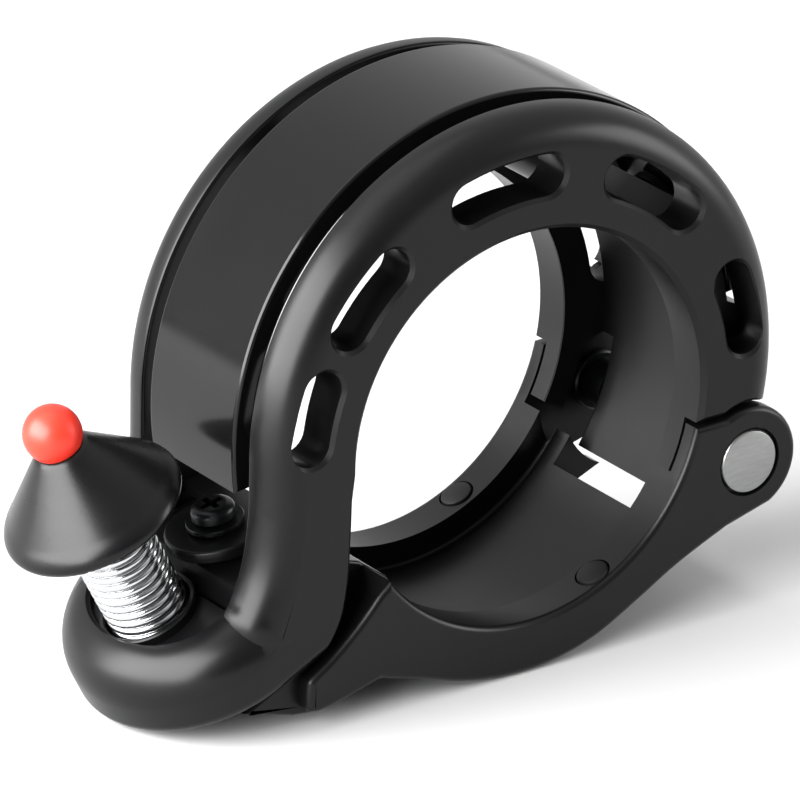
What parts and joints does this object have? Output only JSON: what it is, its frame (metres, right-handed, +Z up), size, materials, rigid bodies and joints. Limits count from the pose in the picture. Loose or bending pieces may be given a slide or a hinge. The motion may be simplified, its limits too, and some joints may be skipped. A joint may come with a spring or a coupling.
{
  "type": "bicycle bell",
  "caption": "Ring-shaped handlebar bell: a sprung striker on a foot hits a band set between two slotted cheeks, and a hinged clamp arm closes the ring round the bar.",
  "frame": {"origin": "centre of the handlebar bore, midway between the two cheeks' outer faces", "axes": "+Y along the handlebar from the front cheek to the rear cover, +Z up, +X from the striker towards the hinge"},
  "size_m": [0.0643, 0.022, 0.0457],
  "materials": {
    "frame_plastic": "satin moulded black",
    "cone_plastic": "satin moulded black",
    "band_lacquer": "gloss black lacquer",
    "black_screw": "black oxide",
    "pin_steel": "turned, lightly brushed",
    "spring_steel": "bright plated wire",
    "rubber": "matte",
    "red_plastic": "gloss"
  },
  "bodies": {
    "frame": {"front_frame": "frame_plastic", "rear_cover": "frame_plastic", "cover_screw_1": "black_screw", "cover_screw_2": "black_screw", "cover_screw_3": "black_screw", "cover_screw_4": "black_screw", "bell_band": "band_lacquer", "band_grommet": "rubber", "band_screw": "black_screw", "hinge_pin": "pin_steel", "hinge_pin_cap": "pin_steel", "hinge_spacer_front": "pin_steel", "hinge_spacer_rear": "pin_steel", "spring_anchor": "pin_steel", "anchor_screw": "black_screw", "striker_spring": "spring_steel"},
    "arm": {"clamp_arm": "frame_plastic", "grip_plug_front": "rubber", "grip_plug_rear": "rubber", "clamp_nut": "pin_steel"},
    "washer": {"clamp_washer": "black_screw"},
    "screw": {"clamp_screw": "black_screw"},
    "striker": {"striker_stem": "pin_steel", "striker_cone": "cone_plastic", "striker_ball": "red_plastic"}
  },
  "joints": [
    {"name": "arm_hinge", "type": "hinge", "parent": "frame", "child": "arm", "pos_m": [0.0206, 0, -0.0077], "axis": [0, -1, 0], "range_deg": [0, 80]},
    {"name": "screw_lift", "type": "slide", "parent": "frame", "child": "washer", "axis": [-0.225, 0, 0.9744], "range_m": [0, 0.00225]},
    {"name": "screw_turn", "type": "hinge", "parent": "washer", "child": "screw", "pos_m": [-0.02156, 0, -0.0065], "axis": [-0.225, 0, 0.9744], "range_deg": [0, 1800]},
    {"name": "striker_flick", "type": "hinge", "parent": "frame", "child": "striker", "pos_m": [-0.02795, 0, -0.0116], "axis": [0, -1, 0], "range_deg": [-10, 30], "stiffness_Nm_per_rad": 0.12, "deforming": ["striker_spring"]}
  ],
  "couplings": [
    {"joint": "screw_turn", "follows": "screw_lift", "rad_per_m": 13963}
  ]
}
